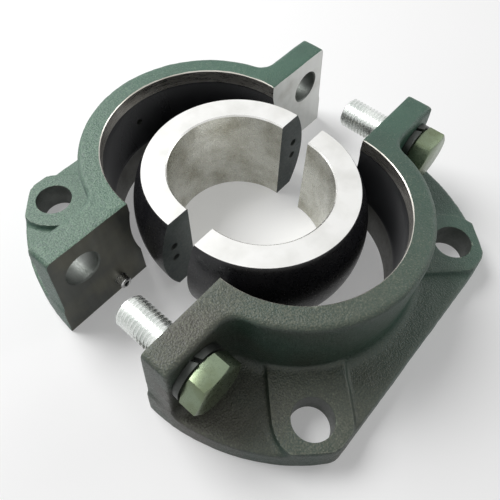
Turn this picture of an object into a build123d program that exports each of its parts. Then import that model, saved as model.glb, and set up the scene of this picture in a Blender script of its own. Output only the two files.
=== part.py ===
from build123d import *
import math
import os

# Split flange bearing block, taken apart: two cast housing halves and two plain bush
# halves stand on the floor, drawn apart along Y. Millimetres.
# Z is up, X runs along the split faces and Y points from the front half to the rear half.

# Layout on the floor
housing_gap = 71        # between the split faces of the two housing halves
bush_gap = 20           # between the split faces of the two bush halves

# Bush
bore_radius = 42.5
bush_wall = 24.1        # bore to the outside of the sphere
bush_length = 66
bush_edge = 0.8

# Spherical seat
bush_clearance = 0.3    # between bush and seat, all round
seat_height = 42        # centre of the sphere above the floor
lip_step = 2.7          # plain lips above and below stand in from the sphere by this

# Ring and ears
block_height = 70
ring_wall = 13.8        # at the lips
ear_thickness = 17.5
ear_margin = 17.2       # bolt's axis to the ear's end, at the top
ear_lean = 6.5          # the ear's end reaches further out by this at the floor
ear_root_fillet = 10    # hollow corner between ring and ear
rim_rounding = 3

# Clamp bolts and their washers
bolt_radius = 10
bolt_length = 55        # under the head
bolt_offset = 24.3      # outside of the ring to the bolt's axis
bolt_height = 46.6
bolt_tip = 2
bolt_clearance = 1
head_across = 30
head_thickness = 12.5
head_crown = 1.2        # height lost at the chamfered corners of the head
washer_wall = 6.55
washer_clearance = 0.25
washer_thickness = 4
washer_slit = 2.5
washer_slit_angle = 25
hole_chamfer = 0.8

# Flange
hole_pitch = 151        # fixing holes, square pattern of the closed block
hole_radius = 12
hole_margin = 20.2      # hole's axis to the flange's round end, at the floor
flat_margin = 22.5      # hole's axis to the flange's straight side, at the floor
flange_height = 16
flange_corner = 14      # rounding between the round ends and the straight sides
pad_wall = 12.5         # raised pad round a fixing hole, at the floor
pad_height = 20
cast_draft = 5.5        # degrees, on flange and pads
foot_fillet = 7         # hollow where ring and ears rise from the flange

# Dowels in the split faces of the housing
dowel_radius = 4
dowel_offset = 19.8     # lip to the dowel's axis
dowel_height = 10.5
dowel_hold = 12         # length pressed into the rear half
dowel_proud = 6
dowel_clearance = 0.15
dowel_tip = 1
blind_gap = 2           # a blind hole is this much deeper than its pin

# Pins in the split faces of the bush
pin_radius = 2.5
pin_offset = 13.9       # bore to the pin's axis
pin_middle = 36.5       # height of the middle between the two pins on one face
pin_pitch = 12
pin_hold = 9
pin_proud = 4
pin_tip = 0.5

# Grease hole in the rear half, with its nipple
grease_radius = 2.5
nipple_radius = 4
nipple_hold = 6
nipple_across = 9
nipple_hex = 4
nipple_neck_radius = 2.4
nipple_neck = 3
nipple_ball_radius = 3.2

# Worked out from the sizes above
bush_radius = bore_radius + bush_wall
seat_radius = bush_radius + bush_clearance
lip_radius = seat_radius - lip_step
lip_drop = math.sqrt(seat_radius**2 - lip_radius**2)
ring_radius = lip_radius + ring_wall
bolt_spread = ring_radius + bolt_offset
bolt_hole_radius = bolt_radius + bolt_clearance
washer_hole_radius = bolt_radius + washer_clearance
ear_reach_top = bolt_spread + ear_margin
ear_reach_base = ear_reach_top + ear_lean
dowel_spread = lip_radius + dowel_offset
pin_spread = bore_radius + pin_offset
hole_circle = hole_pitch / math.sqrt(2)
flange_radius = hole_circle + hole_margin
flange_flat = hole_pitch / 2 + flat_margin
pad_radius = hole_radius + pad_wall
work_width = 4 * flange_radius
tiny = 0.01


def half_frame(gap, side):
    """Frame on the floor at a half's bore axis, with +Y pointing into the half."""
    return Plane(origin=(0, side * gap / 2, 0), x_dir=(side, 0, 0), z_dir=(0, 0, 1))


def face_plane(frame, depth=0):
    """Plane parallel to the split face, depth inside the half: X along the split, Y up."""
    origin = frame.origin + frame.y_dir * depth
    return Plane(origin=origin, x_dir=frame.x_dir, z_dir=-frame.y_dir)


def is_inside(edge, frame):
    """True of an edge that isn't on the working plate's own rim."""
    middle = edge.center() - frame.origin
    return max(abs(middle.X), abs(middle.Y)) < work_width / 2 - 1


def ring_and_ears(ear_length):
    """Plan of the ring with its two ears, hollow where they meet."""
    Circle(ring_radius)
    Rectangle(2 * ear_length, 2 * ear_thickness)
    corners = vertices().filter_by(lambda corner: abs(corner.X) < ring_radius)
    fillet(corners, radius=ear_root_fillet)


def housing_half(frame, rear):
    # Ring and ears to full height, the ears' ends leaning in towards the top
    with BuildPart() as wall:
        with BuildSketch(frame):
            ring_and_ears(ear_reach_base)
        extrude(amount=block_height)
        with BuildSketch(face_plane(frame)):
            with BuildLine():
                Polyline(
                    (-ear_reach_base, 0),
                    (ear_reach_base, 0),
                    (ear_reach_top, block_height),
                    (-ear_reach_top, block_height),
                    close=True,
                )
            make_face()
        extrude(amount=2 * ring_radius, both=True, mode=Mode.INTERSECT)

    with BuildPart() as casting:
        # Flange plate, with the hollow fillet that leads up to the ring and the ears
        with BuildSketch(frame):
            Rectangle(work_width, work_width)
        extrude(amount=flange_height)
        with BuildSketch(frame):
            ring_and_ears(work_width / 2)
        extrude(amount=block_height)
        root = casting.edges().filter_by_position(Axis.Z, flange_height - tiny, flange_height + tiny)
        fillet(root.filter_by(lambda edge: is_inside(edge, frame)), radius=foot_fillet)
        with BuildSketch(frame) as outline:
            Circle(flange_radius)
            Rectangle(2 * flange_radius, 2 * flange_flat, mode=Mode.INTERSECT)
            fillet(outline.vertices(), radius=flange_corner)
        extrude(amount=flange_height + foot_fillet, taper=cast_draft, mode=Mode.INTERSECT)

        # Raised pads round the fixing holes
        with BuildSketch(frame):
            with PolarLocations(hole_circle, 4, start_angle=45):
                Circle(pad_radius)
            with PolarLocations(hole_circle / 2, 4, start_angle=45):
                Rectangle(hole_circle, 2 * pad_radius)
            add(outline.sketch_local, mode=Mode.INTERSECT)
        extrude(amount=pad_height, taper=cast_draft)

        # Ring and ears on the flange, with every top corner rounded
        add(wall.part)
        fillet(casting.faces().sort_by(Axis.Z)[-1].edges(), radius=rim_rounding)

        # Spherical seat between two plain lips
        with BuildSketch(face_plane(frame)):
            with BuildLine():
                Polyline(
                    (lip_radius, seat_height + lip_drop),
                    (lip_radius, block_height),
                    (0, block_height),
                    (0, 0),
                    (lip_radius, 0),
                    (lip_radius, seat_height - lip_drop),
                )
                ThreePointArc(
                    (lip_radius, seat_height - lip_drop),
                    (seat_radius, seat_height),
                    (lip_radius, seat_height + lip_drop),
                )
            make_face()
        revolve(axis=Axis(frame.origin, (0, 0, 1)), mode=Mode.SUBTRACT)

        # Fixing holes down through the pads, bolt holes and dowel holes through the ears
        with BuildSketch(frame):
            with GridLocations(hole_pitch, hole_pitch, 2, 2):
                Circle(hole_radius)
        extrude(amount=block_height, mode=Mode.SUBTRACT)
        with BuildSketch(face_plane(frame)):
            with Locations((-bolt_spread, bolt_height), (bolt_spread, bolt_height)):
                Circle(bolt_hole_radius)
        extrude(amount=flange_radius, both=True, mode=Mode.SUBTRACT)
        with BuildSketch(face_plane(frame)):
            with Locations((-dowel_spread, dowel_height), (dowel_spread, dowel_height)):
                Circle(dowel_radius if rear else dowel_radius + dowel_clearance)
        extrude(amount=-(dowel_hold if rear else dowel_proud) - blind_gap, mode=Mode.SUBTRACT)
        if rear:
            with BuildSketch(face_plane(frame)):
                with Locations((0, seat_height)):
                    Circle(grease_radius)
            extrude(amount=-flange_radius, mode=Mode.SUBTRACT)
            with BuildSketch(face_plane(frame, ring_radius - nipple_hold)):
                with Locations((0, seat_height)):
                    Circle(nipple_radius)
            extrude(amount=-flange_radius, mode=Mode.SUBTRACT)

        # The half behind the split face, with its holes' mouths eased
        split(bisect_by=Plane(origin=frame.origin, z_dir=frame.y_dir), keep=Keep.TOP)
        joint_face = casting.faces().sort_by(Axis(frame.origin, frame.y_dir))[0:2]
        mouths = joint_face.edges().filter_by(GeomType.CIRCLE)
        mouths = mouths.filter_by(lambda edge: edge.radius < lip_radius / 2)
        chamfer(mouths, length=hole_chamfer)
    return casting.part


def bush_half(frame, has_pins):
    middle = bush_length / 2
    reach = math.sqrt(bush_radius**2 - middle**2)
    with BuildPart() as shell:
        with BuildSketch(face_plane(frame)):
            with BuildLine():
                Polyline((reach, 0), (bore_radius, 0), (bore_radius, bush_length), (reach, bush_length))
                ThreePointArc((reach, 0), (bush_radius, middle), (reach, bush_length))
            make_face()
        revolve(axis=Axis(frame.origin, (0, 0, 1)))
        rims = shell.edges().filter_by(GeomType.CIRCLE)
        chamfer(rims, length=bush_edge)
        pins = [
            (side * pin_spread, pin_middle + level * pin_pitch / 2)
            for side in (-1, 1)
            for level in (-1, 1)
        ]
        with BuildSketch(face_plane(frame)):
            with Locations(pins):
                Circle(pin_radius if has_pins else pin_radius + dowel_clearance)
        depth = (pin_hold if has_pins else pin_proud) + blind_gap
        extrude(amount=-depth, mode=Mode.SUBTRACT)
        split(bisect_by=Plane(origin=frame.origin, z_dir=frame.y_dir), keep=Keep.TOP)
    return shell.part


def round_pin(frame, place, radius, hold, proud, tip):
    """Pin pressed hold deep into a split face and standing proud of it, both ends eased."""
    with BuildPart() as pin:
        with BuildSketch(face_plane(frame, hold)):
            with Locations(place):
                Circle(radius)
        extrude(amount=hold + proud)
        chamfer(pin.edges().filter_by(GeomType.CIRCLE), length=tip)
    return pin.part


def clamp_bolt(frame, across):
    """Hexagon bolt through an ear from behind, its tip standing out of the split face."""
    under_head = ear_thickness + washer_thickness
    with BuildPart() as bolt:
        with BuildSketch(face_plane(frame, under_head)):
            with Locations((across, bolt_height)):
                Circle(bolt_radius)
        extrude(amount=bolt_length)
        tip = bolt.edges().filter_by(GeomType.CIRCLE).sort_by(Axis(frame.origin, frame.y_dir))[0]
        chamfer(tip, length=bolt_tip)
        with BuildSketch(face_plane(frame, under_head)):
            with Locations((across, bolt_height)):
                RegularPolygon(head_across / 2, 6, major_radius=False)
        extrude(amount=-head_thickness)

        # The head's outer corners are turned off at a shallow angle
        axis_point = frame.origin + frame.x_dir * across + frame.z_dir * bolt_height
        axis_frame = Plane(origin=axis_point, x_dir=frame.x_dir, z_dir=frame.z_dir)
        corner = head_across / math.sqrt(3)
        head_top = under_head + head_thickness
        with BuildSketch(axis_frame):
            with BuildLine():
                Polyline(
                    (0, under_head - bolt_length),
                    (corner, under_head - bolt_length),
                    (corner, head_top - head_crown),
                    (head_across / 2, head_top),
                    (0, head_top),
                    close=True,
                )
            make_face()
        revolve(axis=Axis(axis_point, frame.y_dir), mode=Mode.INTERSECT)
    return bolt.part


def lock_washer(frame, across):
    """Spring washer behind an ear: a ring with one slanting slit."""
    with BuildPart() as washer:
        with BuildSketch(face_plane(frame, ear_thickness)):
            with Locations((across, bolt_height)):
                Circle(washer_hole_radius + washer_wall)
                Circle(washer_hole_radius, mode=Mode.SUBTRACT)
        extrude(amount=-washer_thickness)
        middle = ear_thickness + washer_thickness / 2
        slit = Plane(
            origin=frame.origin + frame.x_dir * across + frame.y_dir * middle,
            x_dir=frame.x_dir,
            z_dir=frame.z_dir,
        ).rotated((0, 0, washer_slit_angle))
        with BuildSketch(slit.offset(bolt_height + bolt_radius)):
            Rectangle(washer_slit, 4 * washer_thickness)
        extrude(amount=washer_wall + washer_hole_radius, mode=Mode.SUBTRACT)
    return washer.part


def grease_nipple(frame):
    """Nipple screwed into the outside of the ring, with a hexagon, a neck and a ball end."""
    with BuildPart() as nipple:
        with BuildSketch(face_plane(frame, ring_radius)):
            with Locations((0, seat_height)):
                Circle(nipple_radius)
        extrude(amount=nipple_hold)
        with BuildSketch(face_plane(frame, ring_radius)):
            with Locations((0, seat_height)):
                RegularPolygon(nipple_across / 2, 6, major_radius=False)
        extrude(amount=-nipple_hex)
        with BuildSketch(face_plane(frame, ring_radius + nipple_hex)):
            with Locations((0, seat_height)):
                Circle(nipple_neck_radius)
        extrude(amount=-nipple_neck)
        reach = ring_radius + nipple_hex + nipple_neck
        ball = frame.origin + frame.y_dir * reach + frame.z_dir * seat_height
        with Locations(ball):
            Sphere(nipple_ball_radius)
    return nipple.part


rear_frame = half_frame(housing_gap, 1)
front_frame = half_frame(housing_gap, -1)
rear_bush_frame = half_frame(bush_gap, 1)
front_bush_frame = half_frame(bush_gap, -1)

pieces = {
    "housing_rear": housing_half(rear_frame, True),
    "housing_front": housing_half(front_frame, False),
    "bush_rear": bush_half(rear_bush_frame, False),
    "bush_front": bush_half(front_bush_frame, True),
    "grease_nipple": grease_nipple(rear_frame),
}
# The front frame looks the other way, so its own left is the object's right
for side, across in (("left", bolt_spread), ("right", -bolt_spread)):
    pieces[f"clamp_bolt_{side}"] = clamp_bolt(front_frame, across)
    pieces[f"lock_washer_{side}"] = lock_washer(front_frame, across)
for side, across in (("left", -dowel_spread), ("right", dowel_spread)):
    place = (across, dowel_height)
    pieces[f"dowel_{side}"] = round_pin(
        rear_frame, place, dowel_radius, dowel_hold, dowel_proud, dowel_tip
    )
for side, across in (("left", pin_spread), ("right", -pin_spread)):
    for level, step in (("lower", -1), ("upper", 1)):
        place = (across, pin_middle + step * pin_pitch / 2)
        pieces[f"bush_pin_{side}_{level}"] = round_pin(
            front_bush_frame, place, pin_radius, pin_hold, pin_proud, pin_tip
        )

os.makedirs("parts", exist_ok=True)
for name, piece in pieces.items():
    piece.label = name
    export_step(piece, f"parts/{name}.step")
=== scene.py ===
import math
import bpy
from mathutils import Matrix, Vector


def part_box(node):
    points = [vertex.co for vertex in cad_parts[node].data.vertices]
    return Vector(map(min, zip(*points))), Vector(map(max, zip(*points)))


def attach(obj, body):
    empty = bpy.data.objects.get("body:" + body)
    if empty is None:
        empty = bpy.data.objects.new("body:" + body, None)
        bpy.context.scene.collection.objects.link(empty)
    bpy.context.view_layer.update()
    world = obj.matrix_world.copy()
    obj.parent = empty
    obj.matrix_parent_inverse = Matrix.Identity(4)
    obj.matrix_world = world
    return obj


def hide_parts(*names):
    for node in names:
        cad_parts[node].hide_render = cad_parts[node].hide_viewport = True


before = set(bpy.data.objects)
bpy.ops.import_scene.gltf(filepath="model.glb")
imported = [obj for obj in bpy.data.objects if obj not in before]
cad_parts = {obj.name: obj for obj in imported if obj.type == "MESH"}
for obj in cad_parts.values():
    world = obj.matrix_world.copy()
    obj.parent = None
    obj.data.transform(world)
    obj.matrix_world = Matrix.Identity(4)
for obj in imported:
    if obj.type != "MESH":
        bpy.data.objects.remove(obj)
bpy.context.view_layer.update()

mm = 0.001
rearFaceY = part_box("housing_rear")[0].y
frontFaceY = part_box("housing_front")[1].y
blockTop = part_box("housing_rear")[1].z


def middleOf(node):
    low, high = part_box(node)
    return (low + high) / 2


def pickOnly(item):
    for other in bpy.context.selected_objects:
        other.select_set(False)
    item.select_set(True)
    bpy.context.view_layer.objects.active = item


def editMesh(item, *steps):
    pickOnly(item)
    bpy.ops.object.mode_set(mode="EDIT")
    for step in steps:
        step()
    bpy.ops.object.mode_set(mode="OBJECT")


def selectAll():
    bpy.ops.mesh.select_all(action="SELECT")


def mergeDoubles():
    bpy.ops.mesh.remove_doubles(threshold=0.002 * mm)


def faceOutwards():
    bpy.ops.mesh.normals_make_consistent(inside=False)


def selectVertices(item, wanted):
    item.data.polygons.foreach_set("select", [False] * len(item.data.polygons))
    item.data.edges.foreach_set("select", [False] * len(item.data.edges))
    item.data.vertices.foreach_set("select", [wanted(v.co) for v in item.data.vertices])


def applyModifier(item, kind, **values):
    pickOnly(item)
    modifier = item.modifiers.new(kind, kind)
    for name, value in values.items():
        setattr(modifier, name, value)
    bpy.ops.object.modifier_apply(modifier=modifier.name)


def combine(item, other, operation):
    applyModifier(item, "BOOLEAN", operation=operation, object=other, solver="EXACT")
    bpy.data.objects.remove(other)


def joinPieces(items):
    pickOnly(items[0])
    for item in items:
        item.select_set(True)
    bpy.ops.object.join()
    return bpy.context.object


def rename(item, name):
    item.name = name
    item.data.name = name
    return item


def settle(item):
    pickOnly(item)
    bpy.ops.object.transform_apply(location=True, rotation=True, scale=True)
    return item


# A closed turned solid. The profile is (radius, height) pairs that start and end on the axis.
def lathe(profile, place, axis, steps=96):
    mesh = bpy.data.meshes.new("turned")
    points = [(radius, 0, height) for radius, height in profile]
    mesh.from_pydata(points, [(i, i + 1) for i in range(len(points) - 1)], [])
    item = bpy.data.objects.new("turned", mesh)
    bpy.context.scene.collection.objects.link(item)
    editMesh(
        item,
        selectAll,
        lambda: bpy.ops.mesh.spin(steps=steps, angle=2 * math.pi, center=(0, 0, 0), axis=(0, 0, 1)),
        selectAll,
        mergeDoubles,
        faceOutwards,
    )
    turn = Vector(axis).to_track_quat("Z", "Y").to_matrix().to_4x4()
    item.matrix_world = Matrix.Translation(place) @ turn
    return settle(item)


def copyNode(node, name):
    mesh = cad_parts[node].data.copy()
    item = bpy.data.objects.new(name, mesh)
    bpy.context.scene.collection.objects.link(item)
    mesh.name = name
    mesh.materials.clear()
    editMesh(item, selectAll, mergeDoubles)
    return item


print("stage: camera and light")

bpy.context.scene.view_settings.view_transform = "Standard"

cameraView = {
    "azimuth": -50.29,
    "elevation": 57.81,
    "distance": 325.9 * mm,
    "target": (-17.68 * mm, -16.02 * mm, 20 * mm),
    "roll": 1.62,
    "lens": 36.51,
}


def buildCamera(view):
    azimuth, elevation = math.radians(view["azimuth"]), math.radians(view["elevation"])
    back = Vector((
        math.sin(azimuth) * math.cos(elevation),
        -math.cos(azimuth) * math.cos(elevation),
        math.sin(elevation),
    ))
    place = Vector(view["target"]) + back * view["distance"]
    turn = back.to_track_quat("Z", "Y").to_matrix().to_4x4()
    roll = Matrix.Rotation(math.radians(view["roll"]), 4, "Z")
    bpy.ops.object.camera_add()
    camera = bpy.context.object
    camera.matrix_world = Matrix.Translation(place) @ turn @ roll
    camera.data.lens = view["lens"]
    camera.data.clip_start = 0.01
    bpy.context.scene.camera = camera


buildCamera(cameraView)

lamps = {
    "keyLamp": {"from": (-0.15, 0.75, 0.95), "size": 0.7, "power": 15.0},
    "sideLamp": {"from": (1.00, -0.45, 0.60), "size": 0.6, "power": 3.0},
}


def buildLamp(name, lamp):
    bpy.ops.object.light_add(type="AREA")
    light = bpy.context.object
    light.name = name
    light.data.shape = "SQUARE"
    light.data.size = lamp["size"]
    light.data.energy = lamp["power"]
    light.location = lamp["from"]
    light.rotation_euler = Vector(lamp["from"]).to_track_quat("Z", "Y").to_euler()


for name, lamp in lamps.items():
    buildLamp(name, lamp)

worldLight = {"backdrop": 1.0, "ambient": 0.16}
floorLook = {"size": 6.0, "white": 0.97, "bounce": 0.25, "glow": 0.25}


def seenDirectly(nodes, links):
    path = nodes.new("ShaderNodeLightPath")
    found = path.outputs["Is Camera Ray"]
    for ray in ("Is Glossy Ray", "Is Transmission Ray"):
        either = nodes.new("ShaderNodeMath")
        either.operation = "MAXIMUM"
        links.new(found, either.inputs[0])
        links.new(path.outputs[ray], either.inputs[1])
        found = either.outputs[0]
    return found


def buildWorld(values):
    world = bpy.data.worlds.new("studio")
    bpy.context.scene.world = world
    world.use_nodes = True
    nodes, links = world.node_tree.nodes, world.node_tree.links
    background = nodes["Background"]
    background.inputs["Color"].default_value = (1, 1, 1, 1)
    strength = nodes.new("ShaderNodeMapRange")
    strength.inputs["To Min"].default_value = values["ambient"]
    strength.inputs["To Max"].default_value = values["backdrop"]
    links.new(seenDirectly(nodes, links), strength.inputs["Value"])
    links.new(strength.outputs["Result"], background.inputs["Strength"])


buildWorld(worldLight)


def buildFloor(values):
    bpy.ops.mesh.primitive_plane_add(size=values["size"], location=(0, 0, -0.1 * mm))
    floor = rename(bpy.context.object, "floor")
    material = bpy.data.materials.new("paleFloor")
    material.use_nodes = True
    nodes, links = material.node_tree.nodes, material.node_tree.links
    nodes.clear()
    out = nodes.new("ShaderNodeOutputMaterial")
    diffuse = nodes.new("ShaderNodeBsdfDiffuse")
    colour = nodes.new("ShaderNodeMix")
    colour.data_type = "RGBA"
    colour.inputs[6].default_value = (values["bounce"],) * 3 + (1,)
    colour.inputs[7].default_value = (values["white"],) * 3 + (1,)
    seen = seenDirectly(nodes, links)
    links.new(seen, colour.inputs[0])
    links.new(colour.outputs[2], diffuse.inputs["Color"])
    glow = nodes.new("ShaderNodeEmission")
    share = nodes.new("ShaderNodeMath")
    share.operation = "MULTIPLY"
    share.inputs[1].default_value = values["glow"]
    links.new(seen, share.inputs[0])
    blend = nodes.new("ShaderNodeMixShader")
    links.new(share.outputs[0], blend.inputs["Fac"])
    links.new(diffuse.outputs[0], blend.inputs[1])
    links.new(glow.outputs[0], blend.inputs[2])
    links.new(blend.outputs[0], out.inputs["Surface"])
    floor.data.materials.append(material)


buildFloor(floorLook)

print("stage: finishes")


# Shared effect: cast grain. Patches is a broad mask, Specks marks grains, Height is for a bump.
def buildGrainGroup():
    group = bpy.data.node_groups.new("castGrain", "ShaderNodeTree")
    for name, default in (("Patch Size", 30.0), ("Grain Size", 900.0), ("Depth", 0.5)):
        socket = group.interface.new_socket(name, in_out="INPUT", socket_type="NodeSocketFloat")
        socket.default_value = default
    for name in ("Patches", "Specks", "Height"):
        group.interface.new_socket(name, in_out="OUTPUT", socket_type="NodeSocketFloat")
    nodes, links = group.nodes, group.links
    entry, leave = nodes.new("NodeGroupInput"), nodes.new("NodeGroupOutput")
    place = nodes.new("ShaderNodeTexCoord")
    patches = nodes.new("ShaderNodeTexNoise")
    patches.inputs["Detail"].default_value = 4
    fine = nodes.new("ShaderNodeTexNoise")
    fine.inputs["Detail"].default_value = 3
    fine.inputs["Roughness"].default_value = 0.7
    pits = nodes.new("ShaderNodeTexVoronoi")
    for texture, size in ((patches, "Patch Size"), (fine, "Grain Size"), (pits, "Grain Size")):
        links.new(place.outputs["Object"], texture.inputs["Vector"])
        links.new(entry.outputs[size], texture.inputs["Scale"])
    steep = nodes.new("ShaderNodeMapRange")
    steep.inputs["From Min"].default_value = 0.35
    steep.inputs["From Max"].default_value = 0.65
    links.new(patches.outputs["Fac"], steep.inputs["Value"])
    specks = nodes.new("ShaderNodeMapRange")
    specks.inputs["From Min"].default_value = 0.38
    specks.inputs["From Max"].default_value = 0.68
    links.new(fine.outputs["Fac"], specks.inputs["Value"])
    bowl = nodes.new("ShaderNodeMath")
    bowl.operation = "MULTIPLY_ADD"
    links.new(pits.outputs["Distance"], bowl.inputs[0])
    links.new(entry.outputs["Depth"], bowl.inputs[1])
    links.new(fine.outputs["Fac"], bowl.inputs[2])
    links.new(steep.outputs["Result"], leave.inputs["Patches"])
    links.new(specks.outputs["Result"], leave.inputs["Specks"])
    links.new(bowl.outputs[0], leave.inputs["Height"])
    return group


# Shared effect: worn edges, from how convex the surface is.
def buildWearGroup():
    group = bpy.data.node_groups.new("edgeWear", "ShaderNodeTree")
    for name, default in (("Start", 0.52), ("End", 0.60), ("Breakup", 400.0)):
        socket = group.interface.new_socket(name, in_out="INPUT", socket_type="NodeSocketFloat")
        socket.default_value = default
    group.interface.new_socket("Worn", in_out="OUTPUT", socket_type="NodeSocketFloat")
    nodes, links = group.nodes, group.links
    entry, leave = nodes.new("NodeGroupInput"), nodes.new("NodeGroupOutput")
    shape = nodes.new("ShaderNodeNewGeometry")
    place = nodes.new("ShaderNodeTexCoord")
    noise = nodes.new("ShaderNodeTexNoise")
    noise.inputs["Detail"].default_value = 3
    links.new(place.outputs["Object"], noise.inputs["Vector"])
    links.new(entry.outputs["Breakup"], noise.inputs["Scale"])
    edge = nodes.new("ShaderNodeMapRange")
    links.new(shape.outputs["Pointiness"], edge.inputs["Value"])
    links.new(entry.outputs["Start"], edge.inputs["From Min"])
    links.new(entry.outputs["End"], edge.inputs["From Max"])
    broken = nodes.new("ShaderNodeMath")
    broken.operation = "MULTIPLY"
    links.new(edge.outputs["Result"], broken.inputs[0])
    links.new(noise.outputs["Fac"], broken.inputs[1])
    links.new(broken.outputs[0], leave.inputs["Worn"])
    return group


grainGroup = buildGrainGroup()
wearGroup = buildWearGroup()


class Finish:
    def __init__(self, name, metallic=0.0, roughness=0.5, specular=0.5):
        self.material = bpy.data.materials.new(name)
        self.material.use_nodes = True
        self.nodes = self.material.node_tree.nodes
        self.links = self.material.node_tree.links
        self.shader = self.nodes["Principled BSDF"]
        self.shader.inputs["Metallic"].default_value = metallic
        self.shader.inputs["Roughness"].default_value = roughness
        self.shader.inputs["Specular IOR Level"].default_value = specular

    def place(self):
        return self.nodes.new("ShaderNodeTexCoord").outputs["Object"]

    def group(self, tree, **values):
        node = self.nodes.new("ShaderNodeGroup")
        node.node_tree = tree
        for name, value in values.items():
            node.inputs[name.replace("_", " ")].default_value = value
        return node

    def mix(self, factor, first, second, kind="MIX"):
        node = self.nodes.new("ShaderNodeMix")
        node.data_type = "RGBA"
        node.blend_type = kind
        for socket, value in ((0, factor), (6, first), (7, second)):
            if isinstance(value, bpy.types.NodeSocket):
                self.links.new(value, node.inputs[socket])
            elif socket == 0:
                node.inputs[0].default_value = value
            else:
                node.inputs[socket].default_value = (*value, 1)
        return node.outputs[2]

    def ramp(self, value, low, high, start=0.0, end=1.0):
        node = self.nodes.new("ShaderNodeMapRange")
        node.inputs["From Min"].default_value = low
        node.inputs["From Max"].default_value = high
        node.inputs["To Min"].default_value = start
        node.inputs["To Max"].default_value = end
        self.links.new(value, node.inputs["Value"])
        return node.outputs["Result"]

    def noise(self, scale, detail=3.0, stretch=(1, 1, 1)):
        turn = self.nodes.new("ShaderNodeMapping")
        turn.inputs["Scale"].default_value = stretch
        self.links.new(self.place(), turn.inputs["Vector"])
        node = self.nodes.new("ShaderNodeTexNoise")
        node.inputs["Scale"].default_value = scale
        node.inputs["Detail"].default_value = detail
        self.links.new(turn.outputs["Vector"], node.inputs["Vector"])
        return node.outputs["Fac"]

    def along(self, axis):
        node = self.nodes.new("ShaderNodeSeparateXYZ")
        self.links.new(self.place(), node.inputs["Vector"])
        return node.outputs[axis]

    def bump(self, height, distance, strength=1.0):
        node = self.nodes.new("ShaderNodeBump")
        node.inputs["Strength"].default_value = strength
        node.inputs["Distance"].default_value = distance
        self.links.new(height, node.inputs["Height"])
        self.links.new(node.outputs["Normal"], self.shader.inputs["Normal"])

    def feed(self, socket, value):
        self.links.new(value, self.shader.inputs[socket])


paint = {
    "green": (0.034, 0.095, 0.064),
    "deepGreen": (0.016, 0.050, 0.035),
    "sageSheen": (0.19, 0.29, 0.21),
    "khakiSheen": (0.13, 0.135, 0.10),
    "umberShade": (0.030, 0.028, 0.020),
    "speck": (0.30, 0.34, 0.27),
    "wear": (0.38, 0.42, 0.34),
}


# Green paint on a rough casting. Upward faces carry a painted sheen, pale or khaki, that grows towards -X and
# breaks up with the grain; towards -X the ground colour also turns to the given shade colour, which is
# painted shade on the front half.
def buildPaint(name, sheenColour, shadeColour):
    finish = Finish(name, roughness=0.45, specular=0.5)
    grain = finish.group(grainGroup, Patch_Size=26.0, Grain_Size=950.0, Depth=0.6)
    # painted shade: the ground colour darkens to the shade colour towards -X (umber on the front half, plain
    # green on the rear)
    shadeTowardsLeft = finish.ramp(finish.along("X"), 0.09, -0.09)
    ground = finish.mix(shadeTowardsLeft, paint["green"], shadeColour)
    base = finish.mix(finish.ramp(grain.outputs["Patches"], 0, 1, 0.0, 0.7), ground, paint["deepGreen"])
    shape = finish.nodes.new("ShaderNodeNewGeometry")
    split = finish.nodes.new("ShaderNodeSeparateXYZ")
    finish.links.new(shape.outputs["Normal"], split.inputs["Vector"])
    # painted sheen: upward faces towards -X are lightened with the sheen colour
    sheenOnTop = finish.ramp(split.outputs["Z"], 0.5, 0.98)
    cover = finish.ramp(grain.outputs["Specks"], 0.15, 0.85, 0.1, 0.9)
    share = finish.nodes.new("ShaderNodeMath")
    share.operation = "MULTIPLY"
    finish.links.new(sheenOnTop, share.inputs[0])
    finish.links.new(finish.ramp(finish.along("X"), 0.08, -0.08, 0.12, 0.95), share.inputs[1])
    both = finish.nodes.new("ShaderNodeMath")
    both.operation = "MULTIPLY"
    finish.links.new(share.outputs[0], both.inputs[0])
    finish.links.new(cover, both.inputs[1])
    base = finish.mix(both.outputs[0], base, sheenColour)
    base = finish.mix(finish.ramp(grain.outputs["Specks"], 0.8, 1.0, 0.0, 0.35), base, paint["speck"])
    wear = finish.group(wearGroup, Start=0.52, End=0.62, Breakup=500.0)
    base = finish.mix(wear.outputs["Worn"], base, paint["wear"])
    finish.feed("Base Color", base)
    finish.feed("Roughness", finish.ramp(grain.outputs["Specks"], 0.0, 1.0, 0.34, 0.6))
    finish.bump(grain.outputs["Height"], 0.4 * mm, 0.8)
    return finish.material


machined = {"litFace": (0.62, 0.63, 0.61), "shadedFace": (0.10, 0.105, 0.095), "stain": (0.20, 0.19, 0.14)}


# Bare milled face: fine tool marks and patches of oily stain, with painted shade that darkens the face
# towards the left ear.
def buildMachined(name):
    finish = Finish(name, metallic=0.75, roughness=0.42)
    marks = finish.noise(260.0, 4.0, (1.0, 1.0, 0.12))
    # painted shade: the milled face goes from the lit colour to the shaded colour towards -X
    shadeTowardsLeft = finish.ramp(finish.along("X"), 0.02, -0.06)
    base = finish.mix(shadeTowardsLeft, machined["litFace"], machined["shadedFace"])
    blotch = finish.ramp(finish.noise(38.0, 5.0), 0.45, 0.7, 0.0, 0.55)
    base = finish.mix(blotch, base, machined["stain"])
    finish.feed("Base Color", base)
    finish.feed("Roughness", finish.ramp(marks, 0.3, 0.7, 0.32, 0.52))
    finish.bump(marks, 0.05 * mm, 0.5)
    return finish.material


def buildSeat(name):
    finish = Finish(name, metallic=0.5, roughness=0.28)
    smear = finish.noise(24.0, 4.0, (1.0, 1.0, 0.35))
    finish.feed("Base Color", finish.mix(smear, (0.012, 0.013, 0.015), (0.045, 0.047, 0.052)))
    finish.feed("Roughness", finish.ramp(smear, 0.3, 0.7, 0.2, 0.4))
    finish.bump(finish.noise(900.0, 2.0, (1, 1, 3)), 0.03 * mm, 0.4)
    return finish.material


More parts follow.
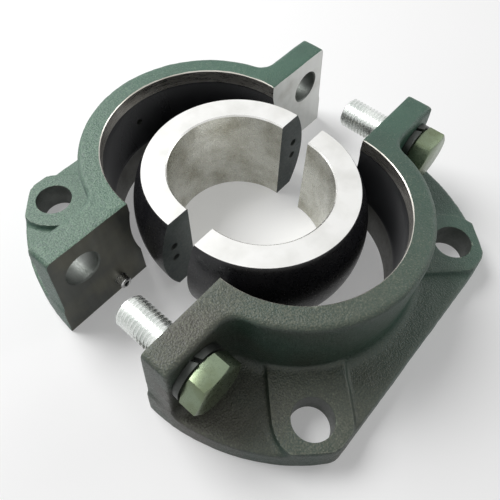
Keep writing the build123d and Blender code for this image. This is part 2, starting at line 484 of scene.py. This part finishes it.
def buildLip(name):
    finish = Finish(name, metallic=0.9, roughness=0.3)
    tool = finish.noise(700.0, 2.0, (0.15, 0.15, 2.0))
    blotch = finish.ramp(finish.noise(45.0, 4.0), 0.45, 0.75, 0.0, 0.6)
    finish.feed("Base Color", finish.mix(blotch, (0.62, 0.60, 0.55), (0.25, 0.23, 0.18)))
    finish.feed("Roughness", finish.ramp(tool, 0.3, 0.7, 0.22, 0.38))
    finish.bump(tool, 0.03 * mm, 0.5)
    return finish.material


def buildTurned(name, light, shadedFace, metallic, rough, marks):
    finish = Finish(name, metallic=metallic, roughness=rough)
    tool = finish.noise(marks, 3.0, (1.0, 1.0, 1.0))
    blotch = finish.ramp(finish.noise(60.0, 5.0), 0.4, 0.75, 0.0, 1.0)
    finish.feed("Base Color", finish.mix(blotch, light, shadedFace))
    finish.feed("Roughness", finish.ramp(tool, 0.3, 0.7, rough * 0.8, rough * 1.25))
    finish.bump(tool, 0.02 * mm, 0.4)
    return finish.material


finishes = {
    "rearPaint": buildPaint("greenPaintRear", paint["sageSheen"], paint["green"]),
    "frontPaint": buildPaint("greenPaintFront", paint["khakiSheen"], paint["umberShade"]),
    "machined": buildMachined("milledFace"),
    "seat": buildSeat("oiledSeat"),
    "lip": buildLip("turnedLip"),
    # painted shade: a darker copy of the turned lip, used below the seat centre
    "lowerLipShade": buildTurned("shadedLip", (0.16, 0.16, 0.15), (0.07, 0.07, 0.06), 0.6, 0.4, 700.0),
    "holeWall": buildTurned("drilledHole", (0.16, 0.17, 0.16), (0.05, 0.06, 0.05), 0.6, 0.5, 900.0),
    "bushEnd": buildTurned("turnedBushEnd", (0.84, 0.84, 0.82), (0.70, 0.70, 0.67), 0.2, 0.45, 1200.0),
    "bushBore": buildTurned("polishedBore", (0.62, 0.62, 0.57), (0.34, 0.33, 0.27), 0.9, 0.27, 800.0),
    "bushBack": buildTurned("blackedBack", (0.010, 0.010, 0.012), (0.020, 0.020, 0.022), 0.2, 0.3, 700.0),
    "bushJoint": buildTurned("sawnJoint", (0.075, 0.090, 0.088), (0.040, 0.052, 0.050), 0.4, 0.5, 500.0),
    "bushEdge": buildTurned("brightEdge", (0.75, 0.75, 0.73), (0.55, 0.55, 0.52), 0.9, 0.25, 900.0),
    "zinc": buildTurned("zincThread", (0.86, 0.88, 0.86), (0.66, 0.69, 0.67), 0.9, 0.24, 900.0),
    # painted reflection and shade: the heads get a dark olive colour that stands for the green casting
    # reflected in them, far darker than the zinc shank
    "boltHeadReflection": buildTurned("zincHeadReflection", (0.20, 0.25, 0.17), (0.11, 0.13, 0.06), 0.8, 0.3, 600.0),
    "spring": buildTurned("springSteel", (0.07, 0.075, 0.07), (0.03, 0.035, 0.03), 0.8, 0.4, 700.0),
    "ground": buildTurned("groundSteel", (0.60, 0.60, 0.60), (0.42, 0.42, 0.42), 0.95, 0.25, 900.0),
    "nipple": buildTurned("platedBrass", (0.62, 0.52, 0.26), (0.48, 0.38, 0.18), 0.95, 0.28, 900.0),
}


def finishByPlace(item, names, choose):
    item.data.materials.clear()
    for name in names:
        item.data.materials.append(finishes[name])
    index = {name: i for i, name in enumerate(names)}
    chosen = [index[choose(face.center, face.normal)] for face in item.data.polygons]
    item.data.polygons.foreach_set("material_index", chosen)
    item.data.update()


def smoothByAngle(item, degrees):
    pickOnly(item)
    bpy.ops.object.shade_smooth_by_angle(angle=math.radians(degrees))


print("stage: castings")

casting = {
    "grow": 3 * mm,  # metal left on the cast block for machining
    "seatShrink": 0.94,
    "plugWall": 0.6 * mm,
    "voxel": 1.25 * mm,
    "smoothing": 5,
    "swell": (26 * mm, 0.5 * mm),
    "pimple": (4.5 * mm, 0.35 * mm),
    "lipChamfer": 0.7 * mm,
    "mouthChamfer": 0.8 * mm,
    "rimChamfer": 0.5 * mm,
    "dowelMouth": 0.5 * mm,
    "cutLength": 30 * mm,
    "seatArcSteps": 18,
    "greaseStart": 50 * mm,
    "greaseEnd": 85 * mm,
}

# Sizes that both halves share, read off the CAD nodes
boltAxis = middleOf("lock_washer_right")
dowelAxis = middleOf("dowel_right")
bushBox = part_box("bush_rear")
bushRadius = bushBox[1].x
seat = {
    "radius": bushRadius + 0.3 * mm,
    "lip": bushRadius - 2.4 * mm,
    "height": 42 * mm,
}
holes = {
    "fixing": {"x": 75.5 * mm, "reach": 75.5 * mm, "radius": 12 * mm, "top": 20 * mm},
    "bolt": {"x": boltAxis.x, "z": boltAxis.z, "radius": 11 * mm, "depth": 17.5 * mm},
    "dowel": {
        "x": dowelAxis.x, "z": dowelAxis.z, "radius": 4 * mm, "slack": 0.15 * mm, "depth": 14 * mm,
    },
    "grease": {"radius": 2.5 * mm, "nipple": 4 * mm, "nippleFrom": 72 * mm},
}
ringRadius = 78 * mm


def plug(radius, start, end):
    length = (Vector(end) - Vector(start)).length
    axis = Vector(end) - Vector(start)
    profile = [(0, 0), (radius, 0), (radius, length), (0, length)]
    return lathe(profile, start, axis, 32)


# The rear block as it leaves the mould: no holes, and spare metal on every machined face.
def buildBlank():
    blank = copyNode("housing_rear", "castBlank")
    axis = (0, rearFaceY, 0)
    grow, shrink = casting["grow"], casting["seatShrink"]
    selectVertices(blank, lambda co: math.hypot(co.x, co.y - rearFaceY) < seat["radius"] + 0.2 * mm)
    editMesh(blank, lambda: bpy.ops.transform.resize(value=(shrink, shrink, 1), center_override=axis))
    selectVertices(blank, lambda co: abs(co.y - rearFaceY) < 0.02 * mm)
    editMesh(blank, lambda: bpy.ops.transform.translate(value=(0, -grow, 0)))
    selectVertices(blank, lambda co: co.z < 0.02 * mm)
    editMesh(blank, lambda: bpy.ops.transform.translate(value=(0, 0, -grow)))
    wall = casting["plugWall"]
    plugs = []
    fixing, bolt, dowel = holes["fixing"], holes["bolt"], holes["dowel"]
    for side in (-1, 1):
        x, y = side * fixing["x"], rearFaceY + fixing["reach"]
        plugs.append(plug(fixing["radius"] + wall, (x, y, -grow), (x, y, fixing["top"] - 0.1 * mm)))
        x = side * bolt["x"]
        back = rearFaceY + bolt["depth"] - 0.1 * mm
        plugs.append(plug(bolt["radius"] + wall, (x, rearFaceY - grow, bolt["z"]), (x, back, bolt["z"])))
        x = side * dowel["x"]
        back = rearFaceY + dowel["depth"] + wall
        plugs.append(plug(dowel["radius"] + wall, (x, rearFaceY - grow, dowel["z"]), (x, back, dowel["z"])))
    start = rearFaceY + shrink * seat["radius"]
    end = rearFaceY + ringRadius - 0.1 * mm
    plugs.append(plug(holes["grease"]["nipple"] + wall, (0, start, seat["height"]), (0, end, seat["height"])))
    blank = joinPieces([blank] + plugs)
    applyModifier(blank, "REMESH", mode="VOXEL", voxel_size=casting["voxel"])
    applyModifier(blank, "SMOOTH", factor=0.5, iterations=casting["smoothing"])
    return blank


def seatProfile():
    lip, radius, height = seat["lip"], seat["radius"], seat["height"]
    reach = math.asin(math.sqrt(radius**2 - lip**2) / radius)
    bevel = casting["lipChamfer"]
    spare = 5 * mm
    profile = [(0, -spare), (lip, -spare)]
    count = casting["seatArcSteps"]
    for i in range(count + 1):
        angle = -reach + 2 * reach * i / count
        profile.append((radius * math.cos(angle), height + radius * math.sin(angle)))
    profile += [
        (lip, blockTop - bevel),
        (lip + bevel + spare, blockTop + spare),
        (0, blockTop + spare),
    ]
    return profile


def holeProfile(radius, length, bevel, spare=2 * mm):
    return [(0, -spare), (radius + bevel + spare, -spare), (radius, bevel), (radius, length), (0, length)]


# Cuts one casting from its blank, as the machine shop does. Side is 1 at the rear and -1 in front.
def machineCasting(item, side, faceY, dowelRadius):
    pimpleSize, pimpleDepth = casting["pimple"]
    swellSize, swellDepth = casting["swell"]
    for label, size, depth in (("swell", swellSize, swellDepth), ("pimple", pimpleSize, pimpleDepth)):
        texture = bpy.data.textures.new(label, "CLOUDS")
        texture.noise_scale = size
        texture.noise_depth = 2
        applyModifier(item, "DISPLACE", texture=texture, strength=depth, mid_level=0.75)
    editMesh(
        item,
        selectAll,
        lambda: bpy.ops.mesh.bisect(
            plane_co=(0, faceY, 0), plane_no=(0, side, 0), use_fill=True, clear_inner=True
        ),
        selectAll,
        lambda: bpy.ops.mesh.bisect(
            plane_co=(0, 0, 0), plane_no=(0, 0, 1), use_fill=True, clear_inner=True
        ),
    )
    combine(item, lathe(seatProfile(), (0, faceY, 0), (0, 0, 1), 180), "DIFFERENCE")
    fixing, bolt, dowel, grease = holes["fixing"], holes["bolt"], holes["dowel"], holes["grease"]
    mouth, rim = casting["mouthChamfer"], casting["rimChamfer"]
    cutters = []
    for left in (-1, 1):
        place = (left * fixing["x"], faceY + side * fixing["reach"], fixing["top"])
        cutters.append(lathe(holeProfile(fixing["radius"], casting["cutLength"], rim), place, (0, 0, -1)))
        place = (left * bolt["x"], faceY, bolt["z"])
        cutters.append(lathe(holeProfile(bolt["radius"], casting["cutLength"], mouth), place, (0, side, 0)))
        place = (left * dowel["x"], faceY, dowel["z"])
        socket = holeProfile(dowelRadius, dowel["depth"], casting["dowelMouth"])
        cutters.append(lathe(socket, place, (0, side, 0), 48))
    if side > 0:
        start, step, end = casting["greaseStart"], grease["nippleFrom"], casting["greaseEnd"]
        profile = [
            (0, start),
            (grease["radius"], start),
            (grease["radius"], step),
            (grease["nipple"], step),
            (grease["nipple"], end),
            (0, end),
        ]
        cutters.append(lathe(profile, (0, faceY, seat["height"]), (0, side, 0), 40))
    combine(item, joinPieces(cutters), "DIFFERENCE")


def castingFinish(side, faceY, paintName):
    lip, radius, height = seat["lip"], seat["radius"], seat["height"]
    fixing, bolt, dowel, grease = holes["fixing"], holes["bolt"], holes["dowel"], holes["grease"]

    def choose(centre, normal):
        across = centre.y - faceY
        reach = math.hypot(centre.x, across)
        if abs(across) < 0.05 * mm and abs(normal.y) > 0.9:
            return "machined"
        if centre.z < 0.05 * mm and normal.z < -0.9:
            return "machined"
        inward = -(centre.x * normal.x + across * normal.y) / max(reach, mm)
        if inward > 0.3 and reach < radius + mm:
            if math.hypot(centre.x, centre.z - height) < grease["radius"] and reach > radius:
                return "holeWall"
            if abs(math.hypot(reach, centre.z - height) - radius) < 0.15 * mm:
                return "seat"
            if reach < lip + 2 * mm:
                # painted shade: the lip below the seat centre gets the darker copy
                return "lip" if centre.z > height else "lowerLipShade"
        if math.hypot(abs(centre.x) - bolt["x"], centre.z - bolt["z"]) < bolt["radius"] + mm:
            return "holeWall"
        if math.hypot(abs(centre.x) - dowel["x"], centre.z - dowel["z"]) < dowel["radius"] + 0.8 * mm:
            if side * across < dowel["depth"] + 0.1 * mm:
                return "holeWall"
        fixingReach = math.hypot(abs(centre.x) - fixing["x"], side * across - fixing["reach"])
        if fixingReach < fixing["radius"] + 0.1 * mm:
            return "holeWall"
        nearNipple = max(abs(centre.x), abs(centre.z - height)) < grease["nipple"]
        if nearNipple and abs(normal.y) < 0.5:
            return "holeWall"
        return paintName

    return choose


def buildCastings():
    rear = buildBlank()
    pickOnly(rear)
    bpy.ops.object.duplicate(linked=False)
    front = bpy.context.object
    editMesh(front, selectAll, lambda: bpy.ops.transform.rotate(
        value=math.pi, orient_axis="Z", center_override=(0, 0, 0)
    ))
    settle(front)
    dowelFit = holes["dowel"]["radius"]
    dowelSlide = dowelFit + holes["dowel"]["slack"]
    halves = (
        (rear, "housingRearCast", 1, rearFaceY, dowelFit, "rearPaint", "housing_rear", "rear_half"),
        (front, "housingFrontCast", -1, frontFaceY, dowelSlide, "frontPaint", "housing_front", "front_half"),
    )
    for item, name, side, faceY, dowelRadius, paintName, node, body in halves:
        rename(item, name)
        machineCasting(item, side, faceY, dowelRadius)
        names = [paintName, "machined", "seat", "lip", "lowerLipShade", "holeWall"]
        finishByPlace(item, names, castingFinish(side, faceY, paintName))
        smoothByAngle(item, 32)
        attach(item, body)
        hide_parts(node)


buildCastings()

print("stage: bush halves")


bushShape = {
    "bore": 42.5 * mm,
    "edge": 0.8 * mm,
    "outerEdge": 0.5 * mm,
    "pinRadius": 2.5 * mm,
    "pinSlack": 0.15 * mm,
    "pinHold": 9 * mm,
    "pinGap": 6 * mm,
}


def bushProfile(low, high):
    bore, edge, outer = bushShape["bore"], bushShape["edge"], bushShape["outerEdge"]
    middle, half = (low + high) / 2, (high - low) / 2 - outer
    reach = math.asin(half / bushRadius)
    profile = [(bore + edge, low), (bore, low + edge), (bore, high - edge), (bore + edge, high)]
    profile.append((bushRadius * math.cos(reach) - outer, high))
    count = 28
    for i in range(count + 1):
        angle = reach - 2 * reach * i / count
        profile.append((bushRadius * math.cos(angle), middle + bushRadius * math.sin(angle)))
    profile.append((bushRadius * math.cos(reach) - outer, low))
    return profile


# Half of a turned bush, swept half a turn from one joint face to the other.
def buildBushHalf(node, name, body, side, faceY, pinRadius, pinDepth):
    low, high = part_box(node)
    points = [(radius, 0, height) for radius, height in bushProfile(low.z, high.z)]
    edges = [(i, (i + 1) % len(points)) for i in range(len(points))]
    mesh = bpy.data.meshes.new(name)
    mesh.from_pydata(points, edges, [])
    item = bpy.data.objects.new(name, mesh)
    bpy.context.scene.collection.objects.link(item)
    editMesh(
        item,
        selectAll,
        lambda: bpy.ops.mesh.spin(steps=120, angle=math.pi, center=(0, 0, 0), axis=(0, 0, 1)),
        selectAll,
        mergeDoubles,
        lambda: bpy.ops.mesh.fill_holes(sides=0),
        selectAll,
        faceOutwards,
    )
    lean = sum(vertex.co.y for vertex in item.data.vertices)
    turn = Matrix.Rotation(0 if lean * side > 0 else math.pi, 4, "Z")
    item.data.transform(Matrix.Translation((0, faceY, 0)) @ turn)
    cutters = []
    for pin in ("left_lower", "left_upper", "right_lower", "right_upper"):
        place = middleOf(f"bush_pin_{pin}")
        profile = [(0, -mm), (pinRadius, -mm), (pinRadius, pinDepth), (0, pinDepth)]
        cutters.append(lathe(profile, (place.x, faceY, place.z), (0, side, 0), 32))
    combine(item, joinPieces(cutters), "DIFFERENCE")
    bore, edge = bushShape["bore"], bushShape["edge"]

    def choose(centre, normal):
        across = centre.y - faceY
        reach = math.hypot(centre.x, across)
        inward = -(centre.x * normal.x + across * normal.y) / max(reach, mm)
        if abs(across) < 0.05 * mm and abs(normal.y) > 0.9:
            return "bushJoint"
        if abs(normal.z) > 0.95 and (centre.z > high.z - 0.05 * mm or centre.z < low.z + 0.05 * mm):
            return "bushEnd"
        if abs(normal.z) > 0.5 and reach < bore + edge:
            return "bushEdge"
        if inward > 0.9 and reach < bore + 0.1 * mm:
            return "bushBore"
        if reach > bore + 5 * mm and inward < -0.3:
            sphere = math.hypot(reach, centre.z - (low.z + high.z) / 2)
            if sphere > bushRadius - mm:
                return "bushBack"
        return "holeWall"

    finishByPlace(item, ["bushEnd", "bushBore", "bushBack", "bushJoint", "bushEdge", "holeWall"], choose)
    smoothByAngle(item, 25)
    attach(item, body)
    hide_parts(node)


pinFit, pinSlide = bushShape["pinRadius"], bushShape["pinRadius"] + bushShape["pinSlack"]
rearJointY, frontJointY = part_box("bush_rear")[0].y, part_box("bush_front")[1].y
buildBushHalf(
    "bush_rear", "bushRearTurned", "rear_bush", 1, rearJointY, pinSlide, bushShape["pinGap"]
)
buildBushHalf(
    "bush_front", "bushFrontTurned", "front_bush", -1, frontJointY, pinFit, bushShape["pinHold"]
)

print("stage: bolts and washers")

boltShape = {
    "radius": 10 * mm,
    "root": 8.55 * mm,
    "pitch": 2.5 * mm,
    "tipChamfer": 1.8 * mm,
    "headAcross": 30 * mm,
    "headDepth": 12.5 * mm,
    "crown": 1.2 * mm,
    "collar": 14 * mm,
    "collarDepth": 0.6 * mm,
    "edge": 0.35 * mm,
}


def threadedRod(length):
    pitch, crest, root = boltShape["pitch"], boltShape["radius"], boltShape["root"]
    turns = int(length / pitch) + 4
    points = [
        (root, 0, 0),
        (root, 0, 0.14 * pitch),
        (crest, 0, 0.48 * pitch),
        (crest, 0, 0.60 * pitch),
        (root, 0, 0.94 * pitch),
        (root, 0, pitch),
    ]
    mesh = bpy.data.meshes.new("thread")
    mesh.from_pydata(points, [(i, i + 1) for i in range(len(points) - 1)], [])
    rod = bpy.data.objects.new("thread", mesh)
    bpy.context.scene.collection.objects.link(rod)
    applyModifier(
        rod, "SCREW", axis="Z", steps=48, render_steps=48, iterations=turns,
        screw_offset=pitch, use_merge_vertices=True, merge_threshold=0.001 * mm,
    )
    editMesh(
        rod,
        selectAll,
        mergeDoubles,
        lambda: bpy.ops.mesh.select_all(action="DESELECT"),
        lambda: bpy.ops.mesh.select_non_manifold(),
        lambda: bpy.ops.mesh.edge_face_add(),
        selectAll,
        faceOutwards,
    )
    rod.location.z = -2 * pitch
    return settle(rod)


def boltBody(length):
    radius, tip = boltShape["radius"], boltShape["tipChamfer"]
    rod = threadedRod(length)
    limit = [(0, 0), (radius + 0.05 * mm, 0), (radius + 0.05 * mm, length - tip)]
    limit += [(radius - tip, length), (0, length)]
    combine(rod, lathe(limit, (0, 0, 0), (0, 0, 1), 64), "INTERSECT")
    depth, across = boltShape["headDepth"], boltShape["headAcross"]
    bpy.ops.mesh.primitive_cylinder_add(
        vertices=6, radius=across / math.sqrt(3), depth=depth,
        location=(0, 0, -depth / 2), rotation=(0, 0, math.radians(30)),
    )
    head = settle(bpy.context.object)
    corner, crown = across / math.sqrt(3) + 0.3 * mm, boltShape["crown"]
    collar = boltShape["collarDepth"]
    turned = [
        (0, 0),
        (boltShape["collar"], 0),
        (boltShape["collar"], -collar),
        (across / 2, -collar),
        (corner, -collar - 0.8 * crown),
        (corner, -depth + crown),
        (across / 2 - 0.4 * mm, -depth),
        (0, -depth),
    ]
    combine(head, lathe(turned, (0, 0, 0), (0, 0, 1), 96), "INTERSECT")
    applyModifier(
        head, "BEVEL", width=boltShape["edge"], segments=2,
        limit_method="ANGLE", angle_limit=math.radians(28),
    )
    return joinPieces([rod, head])


def buildBolt(side):
    node = f"clamp_bolt_{side}"
    low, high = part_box(node)
    centre = (low + high) / 2
    seatY = low.y + boltShape["headDepth"]
    item = boltBody(high.y - seatY)
    turn = Matrix.Rotation(math.radians(-90), 4, "X")
    item.data.transform(Matrix.Translation((centre.x, seatY, centre.z)) @ turn)
    rename(item, f"clampBolt{side.capitalize()}")
    # head faces take the painted reflection and shade colour, the shank the plain zinc
    finishByPlace(item, ["zinc", "boltHeadReflection"], lambda c, n: "boltHeadReflection" if c.y < seatY else "zinc")
    smoothByAngle(item, 30)
    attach(item, f"bolt_{side}")
    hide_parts(node)


for side in ("left", "right"):
    buildBolt(side)

dowelShape = {"tip": 1 * mm, "centreHole": 2 * mm, "centreDepth": 3.5 * mm, "endRounding": 0.4 * mm}


def buildDowel(side):
    node = f"dowel_{side}"
    low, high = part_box(node)
    centre = (low + high) / 2
    radius, length = (high.z - low.z) / 2, high.y - low.y
    tip, hole = dowelShape["tip"], dowelShape["centreHole"]
    profile = [
        (0, 0),
        (radius - dowelShape["endRounding"], 0),
        (radius, dowelShape["endRounding"]),
        (radius, length - tip),
        (radius - 0.35 * tip, length - 0.4 * tip),
        (radius - tip, length),
        (hole + 0.3 * mm, length),
        (hole, length - 0.3 * mm),
        (hole, length - dowelShape["centreDepth"]),
        (0, length - dowelShape["centreDepth"] - 0.5 * hole),
    ]
    item = rename(lathe(profile, (centre.x, high.y, centre.z), (0, -1, 0), 48), f"dowel{side.capitalize()}")

    def choose(centreOfFace, normal):
        inside = math.hypot(centreOfFace.x - centre.x, centreOfFace.z - centre.z) < hole + 0.1 * mm
        return "holeWall" if inside and centreOfFace.y < low.y + 6 * mm else "ground"

    finishByPlace(item, ["ground", "holeWall"], choose)
    smoothByAngle(item, 30)
    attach(item, "rear_half")
    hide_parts(node)


for side in ("left", "right"):
    buildDowel(side)

plainFinishes = {
    "lock_washer_left": "spring",
    "lock_washer_right": "spring",
    "bush_pin_left_lower": "ground",
    "bush_pin_left_upper": "ground",
    "bush_pin_right_lower": "ground",
    "bush_pin_right_upper": "ground",
    "grease_nipple": "nipple",
}
for node, finishName in plainFinishes.items():
    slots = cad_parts[node].material_slots
    for slot in slots:
        slot.material = finishes[finishName]
